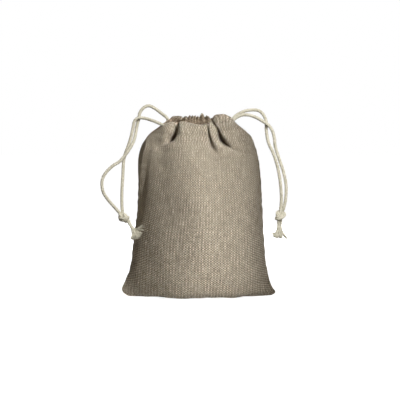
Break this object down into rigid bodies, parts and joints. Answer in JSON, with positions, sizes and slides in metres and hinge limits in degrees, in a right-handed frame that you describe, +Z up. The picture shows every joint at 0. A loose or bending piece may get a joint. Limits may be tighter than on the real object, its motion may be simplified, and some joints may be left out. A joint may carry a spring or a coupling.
{
  "type": "cloth drawstring gift bag",
  "caption": "Cloth drawstring pouch standing filled: hollow body with a flat base, folded casings at the mouth, and knotted cotton drawcords leaving at both sides.",
  "frame": {"origin": "middle of the flat base that the bag stands on", "axes": "+Z up towards the mouth, -Y towards the front, +X to the right seen from the front"},
  "size_m": [0.1828, 0.0686, 0.1894],
  "materials": {
    "linen_cloth": "matte plain-woven linen, slubby, natural grey-beige",
    "cotton_cord": "matte twisted cotton, off-white",
    "sewing_thread": "matte thread, natural beige"
  },
  "bodies": {
    "bag_body": {"front_panel": "linen_cloth", "back_panel": "linen_cloth", "left_seam_allowance": "linen_cloth", "right_seam_allowance": "linen_cloth", "bottom_seam_allowance": "linen_cloth", "left_seam_thread": "sewing_thread", "right_seam_thread": "sewing_thread", "bottom_seam_thread": "sewing_thread", "left_cord_bridge": "cotton_cord", "right_cord_bridge": "cotton_cord", "left_front_strand": "cotton_cord", "left_back_strand": "cotton_cord", "right_front_strand": "cotton_cord", "right_back_strand": "cotton_cord"},
    "front_lip": {"front_casing": "linen_cloth", "front_casing_stitching": "sewing_thread", "left_cord_front_run": "cotton_cord", "right_cord_front_run": "cotton_cord"},
    "back_lip": {"back_casing": "linen_cloth", "back_casing_stitching": "sewing_thread", "left_cord_back_run": "cotton_cord", "right_cord_back_run": "cotton_cord"},
    "left_tails": {"left_knot": "cotton_cord", "left_front_end": "cotton_cord", "left_back_end": "cotton_cord"},
    "right_tails": {"right_knot": "cotton_cord", "right_front_end": "cotton_cord", "right_back_end": "cotton_cord"}
  },
  "joints": [
    {"name": "front_lip_open", "type": "hinge", "parent": "bag_body", "child": "front_lip", "pos_m": [0, -0.0217, 0.158], "axis": [1, 0, 0], "range_deg": [-8, 40]},
    {"name": "back_lip_open", "type": "hinge", "parent": "bag_body", "child": "back_lip", "pos_m": [0, 0.0217, 0.158], "axis": [-1, 0, 0], "range_deg": [-8, 40]},
    {"name": "left_cord_pull", "type": "slide", "parent": "bag_body", "child": "left_tails", "axis": [0, 0, 1], "range_m": [-0.003, 0.015], "deforming": ["left_front_strand", "left_back_strand"]},
    {"name": "right_cord_pull", "type": "slide", "parent": "bag_body", "child": "right_tails", "axis": [0, 0, 1], "range_m": [-0.003, 0.015], "deforming": ["right_front_strand", "right_back_strand"]}
  ],
  "couplings": [
    {"joint": "back_lip_open", "follows": "front_lip_open", "ratio": 1},
    {"joint": "left_cord_pull", "follows": "front_lip_open", "m_per_rad": 0.02},
    {"joint": "right_cord_pull", "follows": "front_lip_open", "m_per_rad": 0.02}
  ]
}
